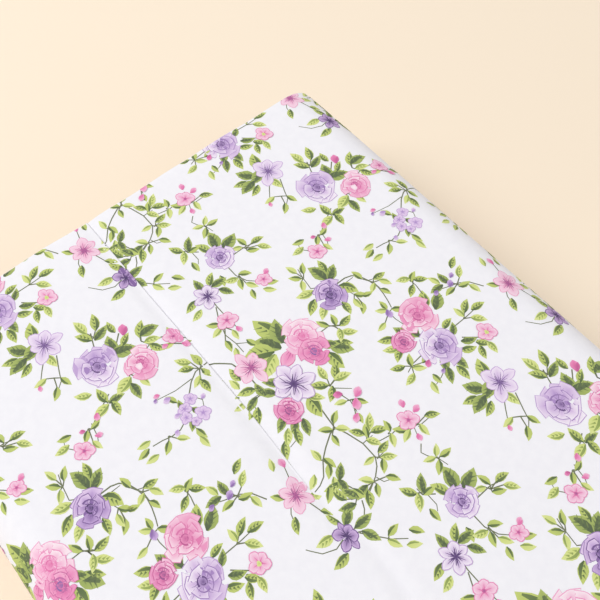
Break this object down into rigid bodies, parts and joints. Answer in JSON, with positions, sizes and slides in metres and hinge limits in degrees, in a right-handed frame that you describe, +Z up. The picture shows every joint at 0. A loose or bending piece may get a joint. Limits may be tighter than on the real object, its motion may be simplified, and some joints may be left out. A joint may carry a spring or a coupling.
{
  "type": "fabric bolt",
  "caption": "Flat-fold bolt of floral printed cotton wound double round a folded corrugated board, with its free end pinned down.",
  "frame": {"origin": "under the middle of the bolt, on the surface that it lies on", "axes": "+X along the board, from the cloth's lengthwise fold to its selvedges; +Y towards the edge opposite the free end; +Z up through the thickness"},
  "size_m": [0.585, 0.2372, 0.0596],
  "materials": {
    "printed_cotton": "plain-weave cotton, matt, white with a printed pink, lilac and green floral",
    "corrugated_board": "brown kraft corrugated board, matt",
    "label_paper": "uncoated white paper, blank",
    "pin_steel": "polished steel wire",
    "pin_head": "glossy ball head"
  },
  "bodies": {
    "winding": {"cloth_inner_turns": "printed_cotton", "cloth_outer_turn": "printed_cotton"},
    "board": {"board_top_upper_liner": "corrugated_board", "board_top_fluting": "corrugated_board", "board_top_lower_liner": "corrugated_board", "board_bottom_upper_liner": "corrugated_board", "board_bottom_fluting": "corrugated_board", "board_bottom_lower_liner": "corrugated_board", "board_front_wall": "corrugated_board", "board_back_wall": "corrugated_board", "board_glue_flap": "corrugated_board", "board_fold_end_flap": "corrugated_board", "fold_end_label": "label_paper"},
    "end_flap": {"board_end_flap": "corrugated_board", "end_label": "label_paper"},
    "free_end": {"cloth_free_end": "printed_cotton"},
    "pin_1": {"pin_shaft_1": "pin_steel", "pin_head_1": "pin_head"},
    "pin_2": {"pin_shaft_2": "pin_steel", "pin_head_2": "pin_head"},
    "pin_3": {"pin_shaft_3": "pin_steel", "pin_head_3": "pin_head"}
  },
  "joints": [
    {"name": "board_slide", "type": "slide", "parent": "winding", "child": "board", "axis": [1, 0, 0], "range_m": [0, 0.558]},
    {"name": "end_flap_crease", "type": "hinge", "parent": "board", "child": "end_flap", "pos_m": [0.28865, 0, 0.0425], "axis": [0, -1, 0], "range_deg": [0, 120]},
    {"name": "free_end_lift", "type": "hinge", "parent": "winding", "child": "free_end", "pos_m": [0, -0.1012, 0.0596], "axis": [-1, 0, 0], "range_deg": [0, 120]},
    {"name": "pin_1_slide", "type": "slide", "parent": "free_end", "child": "pin_1", "axis": [0.999, -0.0354, -0.0287], "range_m": [0, 0.015]},
    {"name": "pin_2_slide", "type": "slide", "parent": "free_end", "child": "pin_2", "axis": [0.999, -0.0354, -0.0287], "range_m": [0, 0.015]},
    {"name": "pin_3_slide", "type": "slide", "parent": "free_end", "child": "pin_3", "axis": [0.999, -0.0354, -0.0287], "range_m": [0, 0.015]}
  ]
}
